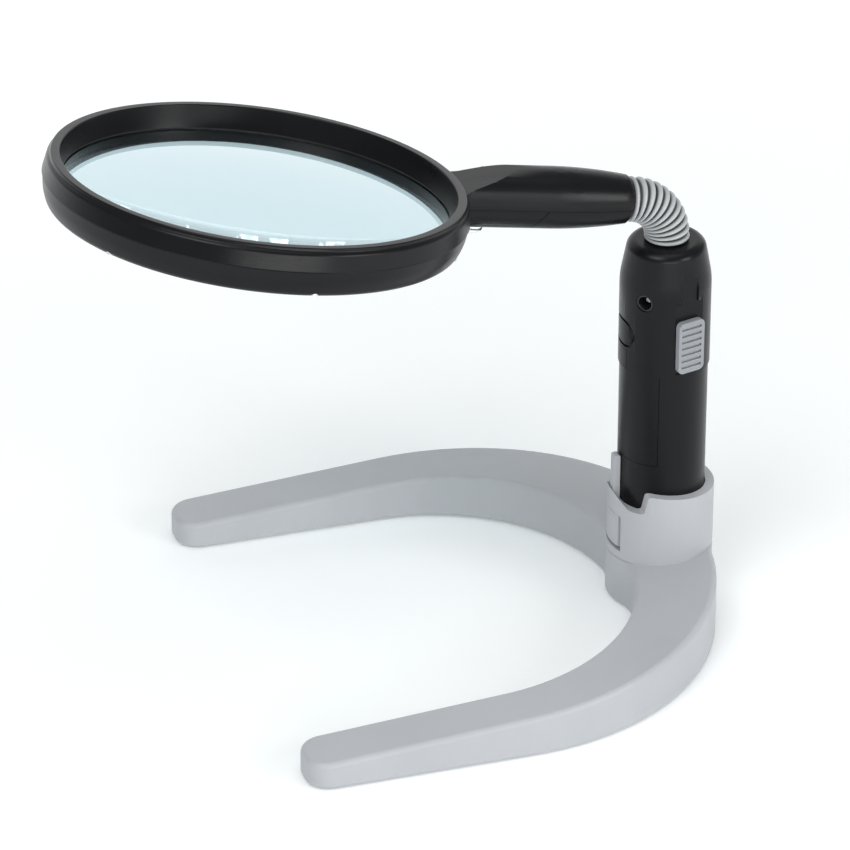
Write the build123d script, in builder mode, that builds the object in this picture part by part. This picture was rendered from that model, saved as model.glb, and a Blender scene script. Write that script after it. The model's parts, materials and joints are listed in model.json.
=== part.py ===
"""Stand magnifier for low vision: horseshoe base, socket, battery handle, short flexible
neck and a large framed lens with a reading lamp under its arm.

Millimetres. +Z is up, -Y is towards the reader, the handle's axis is the Z axis and the
table is Z = 0.
"""

from build123d import *
from math import cos, radians, sin, sqrt
import os

os.makedirs("parts", exist_ok=True)

# ---------------------------------------------------------------- driving dimensions

# Horseshoe base
base_half_width = 93.0        # legs' outer faces, also the radius of the back curve
base_back_y = 16.0            # furthest point of the back curve
base_tip_y = -156.0           # ends of the legs
leg_width = 20.0
gap_corner_reach = 7.0        # centres of the gap's two back corners from the middle
back_width = 31.0             # width of the horseshoe at its back
tip_radius = 8.0
boss_blend = 15.0             # between the round boss below the socket and the back curve
base_bottom_z = 1.2           # lower edge of the shell, carried by the feet
base_top_at_origin = 20.5     # height of the sloping top above the table at Y = 0
base_top_slope = 3.9          # degrees, falling towards the tips
base_wall = 2.2
base_edge_round = 2.0
cover_thick = 2.0
cover_recess = 0.2            # cover above the shell's lower edge
boss_radius = 3.4
cover_screw_radius = 1.3
cover_screw_head = 2.6
foot_sink = 0.8               # depth of the feet's seats in the cover
foot_width = 10.0
foot_length = 14.0
foot_corner = 3.0
centre_foot_radius = 7.0
tip_foot_setback = 11.5       # from the ends of the legs
tip_foot_shift = 1.5          # outwards from the middle of the legs
rear_foot_inset = 8.4         # from the back curve
rear_foot_angle = 27.0
front_boss_setback = 28.0
middle_boss_ahead = 11.0      # of the back curve's centre
rear_boss_inset = 12.8
rear_boss_angle = 49.6
base_screw_grip = 4.5
base_screw_gap = 0.1          # heads below the cover's face
base_screw_cross = (3.4, 0.7, 0.6)
ballast_thick = 3.0
ballast_clearance = 1.2
ballast_front_y = -58.0
fit_gap = 0.15                # all round between pieces that drop into each other

# Socket on the base
socket_wall = 3.4             # outside the handle's radius
socket_bore_gap = 0.25        # between the handle and the bore
socket_rim_z = 46.6           # rim height at Y = 0
socket_rim_slope = 6.84       # degrees, rising towards the reader
socket_floor_z = 20.4
socket_plug_wall = 1.5        # outside the handle's radius, on the part through the base
front_tab_half_width = 1.5
front_tab_wall = 2.5
front_tab_top_z = 57.8
latch_half_width = 6.3
latch_slot = 1.3
latch_root_z = 36.0           # the tongue hangs from here
latch_length = 12.6
latch_thick = 2.4

# Handle
grip_radius = 15.5
head_step = 0.5               # upper housing outside the grip
handle_wall = 1.8
handle_bottom_z = 20.6
seam_z = 94.0
housing_shoulder = 14.0       # taper below the housing's top
housing_top_z = 141.0
housing_top_inset = 2.6       # top of the taper, inside the housing's radius
seam_gap = 0.2
door_bottom_z = 58.5
door_inset = 1.45             # door's half width inside the grip's radius
door_tab_half_width = 4.4
door_tab_height = 7.3
pad_rise = 13.6               # middle of the finger pad above the seam
cell_radius = 5.25
cell_length = 44.5
carrier_bottom_z = 40.5
carrier_disc = 1.5

# Switch and power inlet, angles measured from -Y towards +X
switch_angle = 104.0
switch_width = 10.4
switch_length = 19.8
switch_rise = 2.2             # above the seam
switch_travel = 5.0
channel_height = 27.2
channel_depth = 1.0
groove_half_width = 3.4       # narrow groove above the switch
groove_height = 37.0
inlet_angle = 43.5
inlet_drop = 18.5             # below the housing's top
inlet_radius = 3.0

# Flexible neck: an arc from the handle's top, bending forward
neck_foot = 1.4               # collar below the start of the bend
neck_bend_radius = 16.0
neck_bend_angle = 80.0
neck_joint_angles = (10.0, 30.0, 50.0, 70.0)
sleeve_radius = 7.9
sleeve_bore = 5.3
sleeve_seam_angle = 0.4
core_radius = 4.0
core_bore = 2.4
core_gap = 2.4                # between two turns of the core, at a joint
ferrule_radius = 9.45

# Arm and lens frame, in the head's own frame: x across, y forward along the arm, z up
head_roll = 5.7               # degrees about the arm's axis
arm_rear_radius = 8.5
arm_middle_radius = 9.95
arm_front_radius = 10.75
arm_rear_y = 1.5
arm_middle_y = 14.0
arm_round_y = 34.0            # where the arm reaches its full radius
arm_hollow_end_y = 44.0
arm_wall = 1.8
arm_reach = 68.0              # from the bend's end to the lens's edge
ring_top_z = 6.4
lens_radius = 67.4
lens_edge = 1.8
lens_curve_radius = 350.0
lens_edge_below_rim = 8.5
ring_seam_below_rim = 7.8
ring_depth = 17.1
rim_width = 3.1               # rim's outer edge outside the lens
rim_bulge = 5.2               # widest part of the frame outside the lens
lens_seat = 1.4               # overlap of the lens's edge by the frame from below
lens_lip = 1.8                # and from above
web_half_width = 14.5         # web between arm and ring, where it meets the ring
web_start_half_width = 7.6
web_start_y = 53.0
web_bottom_z = -7.4
ramp_start_y = 44.0           # the arm's top slopes down from here
ramp_end_y = 63.0
ramp_end_z = 4.8

# Smaller details
latch_root_radius = 0.95
latch_root_gap = 0.05
latch_root_half = 3.0
scoop_back_y = 10.2           # scoop in the socket's rim, distances towards the reader
scoop_floor_start_y = 11.2
scoop_floor_end_y = 15.6
scoop_floor_z = 40.2
scoop_front_z = 44.6          # at the socket's front
scoop_round = 1.6
grip_foot_round = 1.0
spigot_wall = 1.4
spigot_depth = 3.5
housing_round = 3.6
shoulder_round = 30.0
pad_width = 16.0
pad_height = 10.6
pad_groove_width = 1.0
pad_groove_depth = 0.8
channel_drop = 0.8            # below the switch
channel_side_gap = 0.4
stem_rise = 7.2               # above the switch's lower edge
stem_width = 3.0
stem_length = 6.0
stem_depth = 3.6
slider_lift = 0.1
slider_thick = 2.1
slider_corner = 2.0
slider_grooves = 7
slider_groove_margin = 1.2
slider_groove_share = 0.4
slider_groove_depth = 0.7
board_depth = 9.8             # inside the channel's floor
board_thick = 1.6
board_rise = 3.0
board_width = 18.0
board_length = 20.5
switch_body_width = 8.0
switch_body_length = 18.0
switch_body_depth = 5.6
inlet_block = 7.6
inlet_wall = 0.5
inlet_back_depth = 10.4       # depths inside the housing's surface
inlet_barrel_depth = 5.6
inlet_face_depth = 0.5
inlet_pin_radius = 0.9
inlet_pin_length = 2.2
cell_gap = 0.1
cell_nub_radius = 1.9
cell_nub_height = 0.9
contact_thick = 0.4
contact_radius = 4.0
spring_height = 1.4
spring_radius = 2.6
carrier_gap = 0.9
rib_depth = 1.4
rib_width = 2.4
core_depth = 12.5
core_end_y = 14.0
nut_radius = 6.6
nut_thick = 3.5
arm_nut_radius = 5.4
arm_rear_chamfer = 1.2
ring_overlap = 1.6            # arm's reach into the ring, outside the lens
cover_seam_y = 39.0
cover_seam_lean = 0.6
rim_lip_height = 1.2
rim_step = 0.9
rim_round = 0.4
rim_lean = 0.2
lower_inset = 0.3             # lower frame inside the upper one's edge
lower_lean = 0.6
lower_shoulder = 4.5
lower_round = 1.2
lamp_y = 57.0
lamp_floor_z = -6.9
lamp_hollow_width = 12.0
lamp_hollow_length = 12.0
lamp_lens_radius = 4.0
lamp_lens_flange = 1.0
lamp_lens_proud = 1.9
lamp_board_height = 3.2
frame_screws = 6
frame_screw_start = 0.0
frame_screw_gap = 0.3         # heads below the frame's face
frame_screw_cross = (1.9, 0.45, 0.5)
frame_screw_outside = 1.5     # outside the lens's edge
frame_screw_radius = 0.8
frame_screw_head = 1.5
frame_screw_sink = 2.4
frame_screw_grip = 4.0

# ---------------------------------------------------------------- shared geometry

base_height = 40.0            # any height above the sloping top, trimmed by the top plane
back_curve_y = base_back_y - base_half_width
gap_half_width = base_half_width - leg_width
gap_corner_x = gap_corner_reach
inner_corner_radius = gap_half_width - gap_corner_reach
gap_corner_y = base_back_y - back_width - inner_corner_radius
leg_centre_x = base_half_width - leg_width / 2
socket_radius = grip_radius + socket_wall
socket_plug_radius = grip_radius + socket_plug_wall


def on_back_curve(inset, angle):
    """Place inside the back curve, angle from the +X side."""
    radius = base_half_width - inset
    return radius * cos(radians(angle)), back_curve_y + radius * sin(radians(angle))


boss_places = [
    (side * x, y)
    for side in (-1, 1)
    for x, y in (
        (leg_centre_x, base_tip_y + front_boss_setback),
        (leg_centre_x, back_curve_y + middle_boss_ahead),
        on_back_curve(rear_boss_inset, rear_boss_angle),
    )
]
foot_places = [
    (side * x, y, side * turn)
    for side in (-1, 1)
    for x, y, turn in (
        (leg_centre_x + tip_foot_shift, base_tip_y + tip_foot_setback, 0.0),
        (*on_back_curve(rear_foot_inset, rear_foot_angle), rear_foot_angle),
    )
]
head_radius = grip_radius + head_step
housing_shoulder_z = housing_top_z - housing_shoulder
housing_top_radius = head_radius - housing_top_inset
neck_start_z = housing_top_z + neck_foot
ring_centre_y = arm_reach + lens_radius
ring_top_inner = lens_radius
ring_top_outer = lens_radius + rim_width
ring_widest = lens_radius + rim_bulge
ring_bottom_outer = ring_top_outer
ring_bottom_inner = lens_radius - lens_seat
lens_sight_radius = lens_radius - lens_lip


def sloping_plane(drop=0.0):
    """Plane of the base's top, moved down by drop."""
    slope = radians(base_top_slope)
    return Plane(
        origin=(0, 0, base_top_at_origin - drop),
        x_dir=(1, 0, 0),
        z_dir=(0, -sin(slope), cos(slope)),
    )


def horseshoe(inset):
    """Plan of the base with every side moved into the material by inset."""
    outer = base_half_width - inset
    gap = gap_half_width + inset
    tip = base_tip_y + inset
    corner = tip_radius - inset
    with BuildSketch() as plan:
        with Locations((0, back_curve_y)):
            Circle(outer)
            Rectangle(2 * outer, back_curve_y - tip - corner, align=(Align.CENTER, Align.MAX))
        with Locations((-gap_corner_x, gap_corner_y), (gap_corner_x, gap_corner_y)):
            Circle(inner_corner_radius + inset, mode=Mode.SUBTRACT)
        with Locations((0, gap_corner_y)):
            Rectangle(2 * gap_corner_x, 2 * (inner_corner_radius + inset), mode=Mode.SUBTRACT)
            Rectangle(2 * gap, 2 * base_half_width, align=(Align.CENTER, Align.MAX), mode=Mode.SUBTRACT)
        with Locations((-leg_centre_x, tip), (leg_centre_x, tip)):
            RectangleRounded(
                leg_width - 2 * inset, 4 * corner, corner, align=(Align.CENTER, Align.MIN)
            )
        Circle(socket_radius - inset)
        blends = plan.vertices().filter_by(lambda v: abs(v.X) < socket_radius)
        fillet(blends, boss_blend + inset)
    return plan.sketch


def outward(angle, z, distance):
    """Plane facing out of the handle at an angle from -Y towards +X, with its y up."""
    a = radians(angle)
    return Plane(
        origin=(distance * sin(a), -distance * cos(a), z),
        x_dir=(cos(a), sin(a), 0),
        z_dir=(sin(a), -cos(a), 0),
    )


def neck_plane(angle):
    """Plane across the neck where its centre line has turned by angle."""
    a = radians(angle)
    return Plane(
        origin=(0, -neck_bend_radius * (1 - cos(a)), neck_start_z + neck_bend_radius * sin(a)),
        x_dir=(1, 0, 0),
        z_dir=(0, -sin(a), cos(a)),
    )


neck_end = neck_plane(neck_bend_angle)
neck_centre = Axis((0, -neck_bend_radius, neck_start_z), (1, 0, 0))
arm_direction = neck_end.z_dir
head_up = Vector(0, 0, 1) - arm_direction * Vector(0, 0, 1).dot(arm_direction)
head_up = head_up.rotate(Axis((0, 0, 0), arm_direction), head_roll)
head = Plane(origin=neck_end.origin, x_dir=arm_direction.cross(head_up), z_dir=head_up)
across = Plane(origin=head.origin, x_dir=head.x_dir, z_dir=arm_direction)
ring_centre = head.from_local_coords((0, ring_centre_y, ring_top_z))
ring_section = Plane(origin=ring_centre, x_dir=head.x_dir, z_dir=head.x_dir.cross(head.z_dir))
ring_axis = Axis(ring_centre, head.z_dir)


def head_plane(y, z):
    """Plane parallel to the lens, centred on the arm's line at y, z of the head's frame."""
    return Plane(origin=head.from_local_coords((0, y, z)), x_dir=head.x_dir, z_dir=head.z_dir)


def finish(part, name):
    """Label a piece and write it."""
    part.label = name
    export_step(part, f"parts/{name}.step")


# ---------------------------------------------------------------- base

cover_bottom_z = base_bottom_z + cover_recess
cover_top_z = cover_bottom_z + cover_thick

with BuildPart() as base_hollow:
    with BuildSketch(Plane.XY.offset(base_bottom_z)):
        add(horseshoe(base_wall))
    extrude(amount=base_height)
    split(bisect_by=sloping_plane(base_wall), keep=Keep.BOTTOM)
    with BuildSketch(Plane.XY.offset(cover_top_z)):
        with Locations(boss_places):
            Circle(boss_radius)
    extrude(amount=base_height, mode=Mode.SUBTRACT)

with BuildPart() as base_shell:
    with BuildSketch(Plane.XY.offset(base_bottom_z)):
        add(horseshoe(0))
    extrude(amount=base_height)
    split(bisect_by=sloping_plane(), keep=Keep.BOTTOM)
    top_face = base_shell.faces().filter_by(lambda f: f.normal_at().Z > 0.9).sort_by(Axis.Z)[-1]
    fillet(top_face.edges(), base_edge_round)
    add(base_hollow.part, mode=Mode.SUBTRACT)
    with BuildSketch(Plane.XY.offset(cover_top_z)):
        with Locations(boss_places):
            Circle(cover_screw_radius)
    extrude(amount=base_screw_grip + base_screw_gap, mode=Mode.SUBTRACT)
    with BuildSketch():
        Circle(socket_plug_radius + fit_gap)
    extrude(amount=base_height, mode=Mode.SUBTRACT)
finish(base_shell.part, "base_shell")


def foot_outlines(grow):
    """Outlines of the five feet: two at the tips, two at the back curve, one below the handle."""
    with BuildSketch() as feet:
        for x, y, turn in foot_places:
            with Locations(Location((x, y, 0), (0, 0, turn))):
                RectangleRounded(foot_width + 2 * grow, foot_length + 2 * grow, foot_corner + grow)
        Circle(centre_foot_radius + grow)
    return feet.sketch


with BuildPart() as base_cover:
    with BuildSketch(Plane.XY.offset(cover_bottom_z)):
        add(horseshoe(base_wall + fit_gap))
    extrude(amount=cover_thick)
    with BuildSketch(Plane.XY.offset(cover_bottom_z)):
        add(foot_outlines(0))
    extrude(amount=foot_sink, mode=Mode.SUBTRACT)
    with BuildSketch(Plane.XY.offset(cover_bottom_z)):
        with Locations(boss_places):
            Circle(cover_screw_head + fit_gap)
    extrude(amount=cover_thick / 2, mode=Mode.SUBTRACT)
    with BuildSketch(Plane.XY.offset(cover_bottom_z)):
        with Locations(boss_places):
            Circle(cover_screw_radius + fit_gap)
    extrude(amount=cover_thick, mode=Mode.SUBTRACT)
finish(base_cover.part, "base_cover")

with BuildPart() as base_feet:
    with BuildSketch():
        add(foot_outlines(0))
    extrude(amount=cover_bottom_z + foot_sink)
finish(base_feet.part, "base_feet")

with BuildPart() as base_screws:
    with BuildSketch(Plane.XY.offset(cover_bottom_z + cover_thick / 2)):
        with Locations(boss_places):
            Circle(cover_screw_radius)
    extrude(amount=cover_thick / 2 + base_screw_grip)
    with BuildSketch(Plane.XY.offset(cover_bottom_z + base_screw_gap)):
        with Locations(boss_places):
            Circle(cover_screw_head)
    extrude(amount=cover_thick / 2 - base_screw_gap)
    with BuildSketch(Plane.XY.offset(cover_bottom_z + base_screw_gap)):
        with Locations(boss_places):
            Rectangle(base_screw_cross[0], base_screw_cross[1])
            Rectangle(base_screw_cross[1], base_screw_cross[0])
    extrude(amount=base_screw_cross[2], mode=Mode.SUBTRACT)
finish(base_screws.part, "base_screws")

with BuildPart() as ballast_plates:
    with BuildSketch(Plane.XY.offset(cover_top_z)):
        add(horseshoe(base_wall + ballast_clearance))
        with Locations((0, ballast_front_y)):
            Rectangle(
                2 * base_half_width,
                2 * base_half_width,
                align=(Align.CENTER, Align.MAX),
                mode=Mode.SUBTRACT,
            )
        with Locations(boss_places):
            Circle(boss_radius + ballast_clearance, mode=Mode.SUBTRACT)
        Circle(socket_plug_radius + ballast_clearance, mode=Mode.SUBTRACT)
    extrude(amount=ballast_thick)
finish(ballast_plates.part, "ballast_plates")

# ---------------------------------------------------------------- socket and its latch

socket_bore = grip_radius + socket_bore_gap
latch_y = -(socket_radius - latch_thick / 2)
latch_bottom_z = latch_root_z - latch_length
side_view = Plane(origin=(-2 * socket_radius, 0, 0), x_dir=(0, -1, 0), z_dir=(-1, 0, 0))
rim_slope = radians(socket_rim_slope)
rim_plane = Plane(origin=(0, 0, socket_rim_z), x_dir=(1, 0, 0), z_dir=(0, sin(rim_slope), cos(rim_slope)))

with BuildPart() as front_tab:
    with BuildSketch(Plane.XY.offset(scoop_floor_z)):
        Circle(socket_bore + front_tab_wall)
        Circle(socket_bore, mode=Mode.SUBTRACT)
        with Locations((0, -socket_radius)):
            Rectangle(2 * front_tab_half_width, socket_radius, mode=Mode.INTERSECT)
    extrude(amount=front_tab_top_z - scoop_floor_z)
    crown = front_tab.faces().sort_by(Axis.Z)[-1]
    fillet(crown.edges().filter_by(GeomType.CIRCLE), front_tab_wall / 3)

with BuildPart() as socket:
    with BuildSketch(Plane.XY.offset(cover_top_z)):
        Circle(socket_radius)
    extrude(amount=2 * base_height)
    split(bisect_by=sloping_plane(), keep=Keep.TOP)
    split(bisect_by=rim_plane, keep=Keep.BOTTOM)
    with BuildSketch(Plane.XY.offset(cover_top_z)):
        Circle(socket_plug_radius)
    extrude(amount=socket_floor_z - cover_top_z)
    with BuildSketch(Plane.XY.offset(cover_top_z)):
        Circle(socket_plug_radius - base_wall)
    extrude(amount=socket_floor_z - cover_top_z - base_wall, mode=Mode.SUBTRACT)
    with BuildSketch(Plane.XY.offset(socket_floor_z)):
        Circle(socket_bore)
    extrude(amount=base_height, mode=Mode.SUBTRACT)
    with BuildSketch(side_view) as scoop:
        with BuildLine():
            Polyline(
                (scoop_back_y, 2 * base_height),
                (scoop_back_y, socket_rim_z),
                (scoop_floor_start_y, scoop_floor_z),
                (scoop_floor_end_y, scoop_floor_z),
                (socket_radius, scoop_front_z),
                (2 * socket_radius, 2 * base_height),
                close=True,
            )
        make_face()
        fillet(scoop.vertices().group_by(Axis.Z)[0], scoop_round)
    extrude(amount=-4 * socket_radius, mode=Mode.SUBTRACT)
    shoulders = socket.edges().filter_by(
        lambda e: abs(e.center().Y + scoop_back_y) < 0.1 and e.center().Z > socket_rim_z
    )
    fillet(shoulders.filter_by(Axis.X), scoop_round)
    add(front_tab.part)
    with BuildSketch(Plane.XZ.offset(socket_bore - 1.0)):
        with Locations((0, latch_root_z + fit_gap)):
            Rectangle(
                2 * (latch_half_width + latch_slot),
                latch_length + fit_gap + latch_slot,
                align=(Align.CENTER, Align.MAX),
            )
    extrude(amount=socket_wall + 2.0, mode=Mode.SUBTRACT)
    with BuildSketch(Plane.YZ.offset(-latch_root_half)):
        with Locations((latch_y, latch_root_z)):
            Circle(latch_root_radius + latch_root_gap)
    extrude(amount=2 * latch_root_half, mode=Mode.SUBTRACT)
finish(socket.part, "socket")

with BuildPart() as latch_tongue:
    with BuildSketch(Plane.XY.offset(latch_bottom_z)):
        Circle(socket_radius)
        Circle(socket_radius - latch_thick, mode=Mode.SUBTRACT)
        with Locations((0, -socket_radius)):
            Rectangle(2 * latch_half_width, socket_radius, mode=Mode.INTERSECT)
    extrude(amount=latch_length)
    foot = latch_tongue.faces().sort_by(Axis.Z)[0]
    fillet(foot.edges().filter_by(GeomType.CIRCLE), latch_thick / 4)
    with BuildSketch(Plane.YZ.offset(-latch_root_half + latch_root_gap)):
        with Locations((latch_y, latch_root_z)):
            Circle(latch_root_radius)
    extrude(amount=2 * (latch_root_half - latch_root_gap))
finish(latch_tongue.part, "latch_tongue")

# ---------------------------------------------------------------- handle

grip_bore = grip_radius - handle_wall
door_half_width = grip_radius - door_inset
door_tab_top_z = seam_z + door_tab_height
pad_z = seam_z + pad_rise
spigot_bore = grip_bore - spigot_wall
spigot_bottom_z = seam_z - spigot_depth
channel_floor = head_radius - channel_depth
switch_bottom_z = seam_z + switch_rise
channel_bottom_z = switch_bottom_z - channel_drop
stem_bottom_z = switch_bottom_z + stem_rise
stem_end_radius = channel_floor - stem_depth
board_radius = channel_floor - board_depth
board_bottom_z = seam_z + board_rise
inlet_z = housing_top_z - inlet_drop
inlet_back_radius = head_radius - inlet_back_depth
inlet_barrel_radius = head_radius - inlet_barrel_depth
inlet_face_radius = head_radius - inlet_face_depth
head_bore = head_radius - handle_wall
grip_top_z = seam_z - seam_gap
door_back_y = -sqrt(grip_radius**2 - door_half_width**2)

with BuildPart() as grip_tube:
    with BuildSketch(Plane.XY.offset(handle_bottom_z)):
        Circle(grip_radius)
    extrude(amount=grip_top_z - handle_bottom_z)
    fillet(grip_tube.edges().group_by(Axis.Z)[0], grip_foot_round)
    with BuildSketch(Plane.XY.offset(handle_bottom_z + handle_wall)):
        Circle(grip_bore)
    extrude(amount=grip_top_z - handle_bottom_z, mode=Mode.SUBTRACT)
    with BuildSketch(Plane.XY.offset(door_bottom_z - fit_gap)):
        with Locations((0, door_back_y + fit_gap)):
            Rectangle(
                2 * (door_half_width + fit_gap),
                grip_radius,
                align=(Align.CENTER, Align.MAX),
            )
    extrude(amount=grip_top_z - door_bottom_z + 1.0, mode=Mode.SUBTRACT)
finish(grip_tube.part, "grip_tube")


def door_plan(outer, inner, half_width):
    """Curved plan of the battery door or its tab."""
    with BuildSketch() as plan:
        Circle(outer)
        Circle(inner, mode=Mode.SUBTRACT)
        with Locations((0, door_back_y)):
            Rectangle(
                2 * half_width,
                outer,
                align=(Align.CENTER, Align.MAX),
                mode=Mode.INTERSECT,
            )
    return plan.sketch


with BuildPart() as battery_door:
    with BuildSketch(Plane.XY.offset(door_bottom_z)):
        add(door_plan(grip_radius, grip_bore, door_half_width))
    extrude(amount=grip_top_z - door_bottom_z)
    with BuildSketch(Plane.XY.offset(grip_top_z)):
        add(door_plan(head_radius, head_bore + seam_gap, door_tab_half_width))
    extrude(amount=door_tab_top_z - grip_top_z)
finish(battery_door.part, "battery_door")

with BuildPart() as pad_groove:
    with BuildSketch(outward(0, pad_z, 0)):
        SlotOverall(pad_width, pad_height)
        SlotOverall(
            pad_width - 2 * pad_groove_width,
            pad_height - 2 * pad_groove_width,
            mode=Mode.SUBTRACT,
        )
    extrude(amount=2 * head_radius)
    with BuildSketch(Plane.XY.offset(seam_z)):
        Circle(head_radius - pad_groove_depth)
    extrude(amount=housing_top_z - seam_z, mode=Mode.SUBTRACT)

with BuildPart() as upper_housing:
    with BuildSketch(Plane.XZ):
        with BuildLine():
            Polyline(
                (spigot_bore, spigot_bottom_z),
                (grip_bore - fit_gap, spigot_bottom_z),
                (grip_bore - fit_gap, seam_z),
                (head_radius, seam_z),
                (head_radius, housing_shoulder_z),
                (housing_top_radius, housing_top_z),
                (core_radius + fit_gap, housing_top_z),
                (core_radius + fit_gap, housing_top_z - handle_wall),
                (housing_top_radius - housing_round, housing_top_z - handle_wall),
                (housing_top_radius - handle_wall, housing_top_z - housing_round),
                (head_bore, housing_shoulder_z),
                (head_bore, seam_z + handle_wall),
                (spigot_bore, seam_z),
                close=True,
            )
        make_face()
    revolve(axis=Axis.Z)
    rims = upper_housing.edges().filter_by(GeomType.CIRCLE)
    fillet(rims.filter_by(lambda e: abs(e.radius - housing_top_radius) < 0.01), housing_round)
    shoulder = rims.filter_by(
        lambda e: abs(e.radius - head_radius) < 0.01 and e.center().Z > housing_shoulder_z - 1.0
    )
    fillet(shoulder, shoulder_round)
    with BuildSketch(Plane.XY.offset(seam_z)):
        with Locations((0, -head_radius)):
            Rectangle(2 * (door_tab_half_width + fit_gap), head_radius)
    extrude(amount=door_tab_top_z + fit_gap - seam_z, mode=Mode.SUBTRACT)
    add(pad_groove.part, mode=Mode.SUBTRACT)
    with BuildSketch(outward(switch_angle, channel_bottom_z, channel_floor)):
        Rectangle(
            switch_width + 2 * channel_side_gap,
            channel_height,
            align=(Align.CENTER, Align.MIN),
        )
        Rectangle(2 * groove_half_width, groove_height, align=(Align.CENTER, Align.MIN))
    extrude(amount=2 * handle_wall, mode=Mode.SUBTRACT)
    with BuildSketch(outward(switch_angle, stem_bottom_z - fit_gap, grip_bore - handle_wall)):
        Rectangle(
            stem_width + 2 * fit_gap,
            stem_length + switch_travel + 2 * fit_gap,
            align=(Align.CENTER, Align.MIN),
        )
    extrude(amount=2 * handle_wall, mode=Mode.SUBTRACT)
    with BuildSketch(outward(inlet_angle, inlet_z, housing_top_radius - handle_wall)):
        Circle(inlet_radius + fit_gap)
    extrude(amount=4 * handle_wall, mode=Mode.SUBTRACT)
finish(upper_housing.part, "upper_housing")

# ---------------------------------------------------------------- batteries

cell_bottom_z = carrier_bottom_z + carrier_disc + contact_thick + spring_height
cell_top_z = cell_bottom_z + cell_length
carrier_top_z = cell_top_z + contact_thick + carrier_disc
cell_ring = (cell_radius + cell_gap) * 2 / sqrt(3)

with BuildPart() as battery_carrier:
    for z in (carrier_bottom_z, carrier_top_z - carrier_disc):
        with BuildSketch(Plane.XY.offset(z)):
            Circle(grip_bore - carrier_gap)
        extrude(amount=carrier_disc)
    with BuildSketch(Plane.XY.offset(carrier_bottom_z)):
        Circle(cell_ring - cell_radius - cell_gap)
    extrude(amount=carrier_top_z - carrier_bottom_z)
    with BuildSketch(Plane.XY.offset(carrier_bottom_z)):
        with PolarLocations(grip_bore - carrier_gap - rib_depth / 2, 3, start_angle=90):
            Rectangle(rib_depth, rib_width)
    extrude(amount=carrier_top_z - carrier_bottom_z)
finish(battery_carrier.part, "battery_carrier")


def cell_columns(z, radius, amount, inner=0.0):
    """Three upright discs or rings, one on each cell's axis."""
    with BuildPart() as columns:
        with BuildSketch(Plane.XY.offset(z)):
            with PolarLocations(cell_ring, 3, start_angle=-90):
                Circle(radius)
                if inner:
                    Circle(inner, mode=Mode.SUBTRACT)
        extrude(amount=amount)
    return columns.part


with BuildPart() as battery_cells:
    add(cell_columns(cell_bottom_z, cell_radius, cell_length - cell_nub_height))
    add(cell_columns(cell_top_z - cell_nub_height, cell_nub_radius, cell_nub_height))
finish(battery_cells.part, "battery_cells")

with BuildPart() as contact_plates:
    add(cell_columns(carrier_bottom_z + carrier_disc, contact_radius, contact_thick))
    add(cell_columns(cell_top_z, contact_radius, contact_thick))
finish(contact_plates.part, "contact_plates")

with BuildPart() as contact_springs:
    add(cell_columns(cell_bottom_z - spring_height, spring_radius, spring_height, spring_radius - 0.6))
finish(contact_springs.part, "contact_springs")

# ---------------------------------------------------------------- switch, board and power inlet

with BuildPart() as switch_slider:
    with BuildSketch(outward(switch_angle, switch_bottom_z, channel_floor + slider_lift)):
        RectangleRounded(
            switch_width, switch_length, slider_corner, align=(Align.CENTER, Align.MIN)
        )
    extrude(amount=slider_thick)
    outer_face = outward(switch_angle, switch_bottom_z, channel_floor + slider_lift + slider_thick)
    with BuildSketch(outer_face):
        for rib in range(slider_grooves):
            pitch = switch_length / (slider_grooves + 1)
            with Locations((0, (rib + 1) * pitch)):
                Rectangle(switch_width - 2 * slider_groove_margin, pitch * slider_groove_share)
    extrude(amount=-slider_groove_depth, mode=Mode.SUBTRACT)
    with BuildSketch(outward(switch_angle, stem_bottom_z, stem_end_radius)):
        Rectangle(stem_width, stem_length, align=(Align.CENTER, Align.MIN))
    extrude(amount=channel_floor + slider_lift - stem_end_radius)
finish(switch_slider.part, "switch_slider")

with BuildPart() as switch_body:
    with BuildSketch(outward(switch_angle, board_bottom_z + 1.5, board_radius + board_thick)):
        Rectangle(switch_body_width, switch_body_length, align=(Align.CENTER, Align.MIN))
    extrude(amount=switch_body_depth)
    with BuildSketch(outward(switch_angle, stem_bottom_z - 1.0, stem_end_radius - 0.4)):
        Rectangle(stem_width + 0.6, stem_length + switch_travel + 2.0, align=(Align.CENTER, Align.MIN))
    extrude(amount=switch_body_depth, mode=Mode.SUBTRACT)
finish(switch_body.part, "switch_body")

with BuildPart() as circuit_board:
    with BuildSketch(outward(switch_angle, board_bottom_z, board_radius)):
        Rectangle(board_width, board_length, align=(Align.CENTER, Align.MIN))
    extrude(amount=board_thick)
finish(circuit_board.part, "circuit_board")

with BuildPart() as board_parts:
    with BuildSketch(outward(switch_angle, board_bottom_z + 4.0, board_radius)):
        Rectangle(5.0, 4.0)
        with Locations((0, 10.0)):
            Rectangle(3.2, 2.5)
        with Locations((5.5, 3.0)):
            Circle(1.8)
    extrude(amount=-2.2)
finish(board_parts.part, "board_parts")

with BuildPart() as inlet_socket:
    with BuildSketch(outward(inlet_angle, inlet_z, inlet_back_radius)):
        Rectangle(inlet_block, inlet_block)
    extrude(amount=inlet_barrel_radius - inlet_back_radius)
    with BuildSketch(outward(inlet_angle, inlet_z, inlet_barrel_radius)):
        Circle(inlet_radius)
    extrude(amount=inlet_face_radius - inlet_barrel_radius)
    with BuildSketch(outward(inlet_angle, inlet_z, inlet_barrel_radius)):
        Circle(inlet_radius - inlet_wall)
    extrude(amount=inlet_face_radius - inlet_barrel_radius, mode=Mode.SUBTRACT)
finish(inlet_socket.part, "inlet_socket")

with BuildPart() as inlet_pin:
    with BuildSketch(outward(inlet_angle, inlet_z, inlet_barrel_radius)):
        Circle(inlet_pin_radius)
    extrude(amount=inlet_pin_length)
finish(inlet_pin.part, "inlet_pin")

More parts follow.
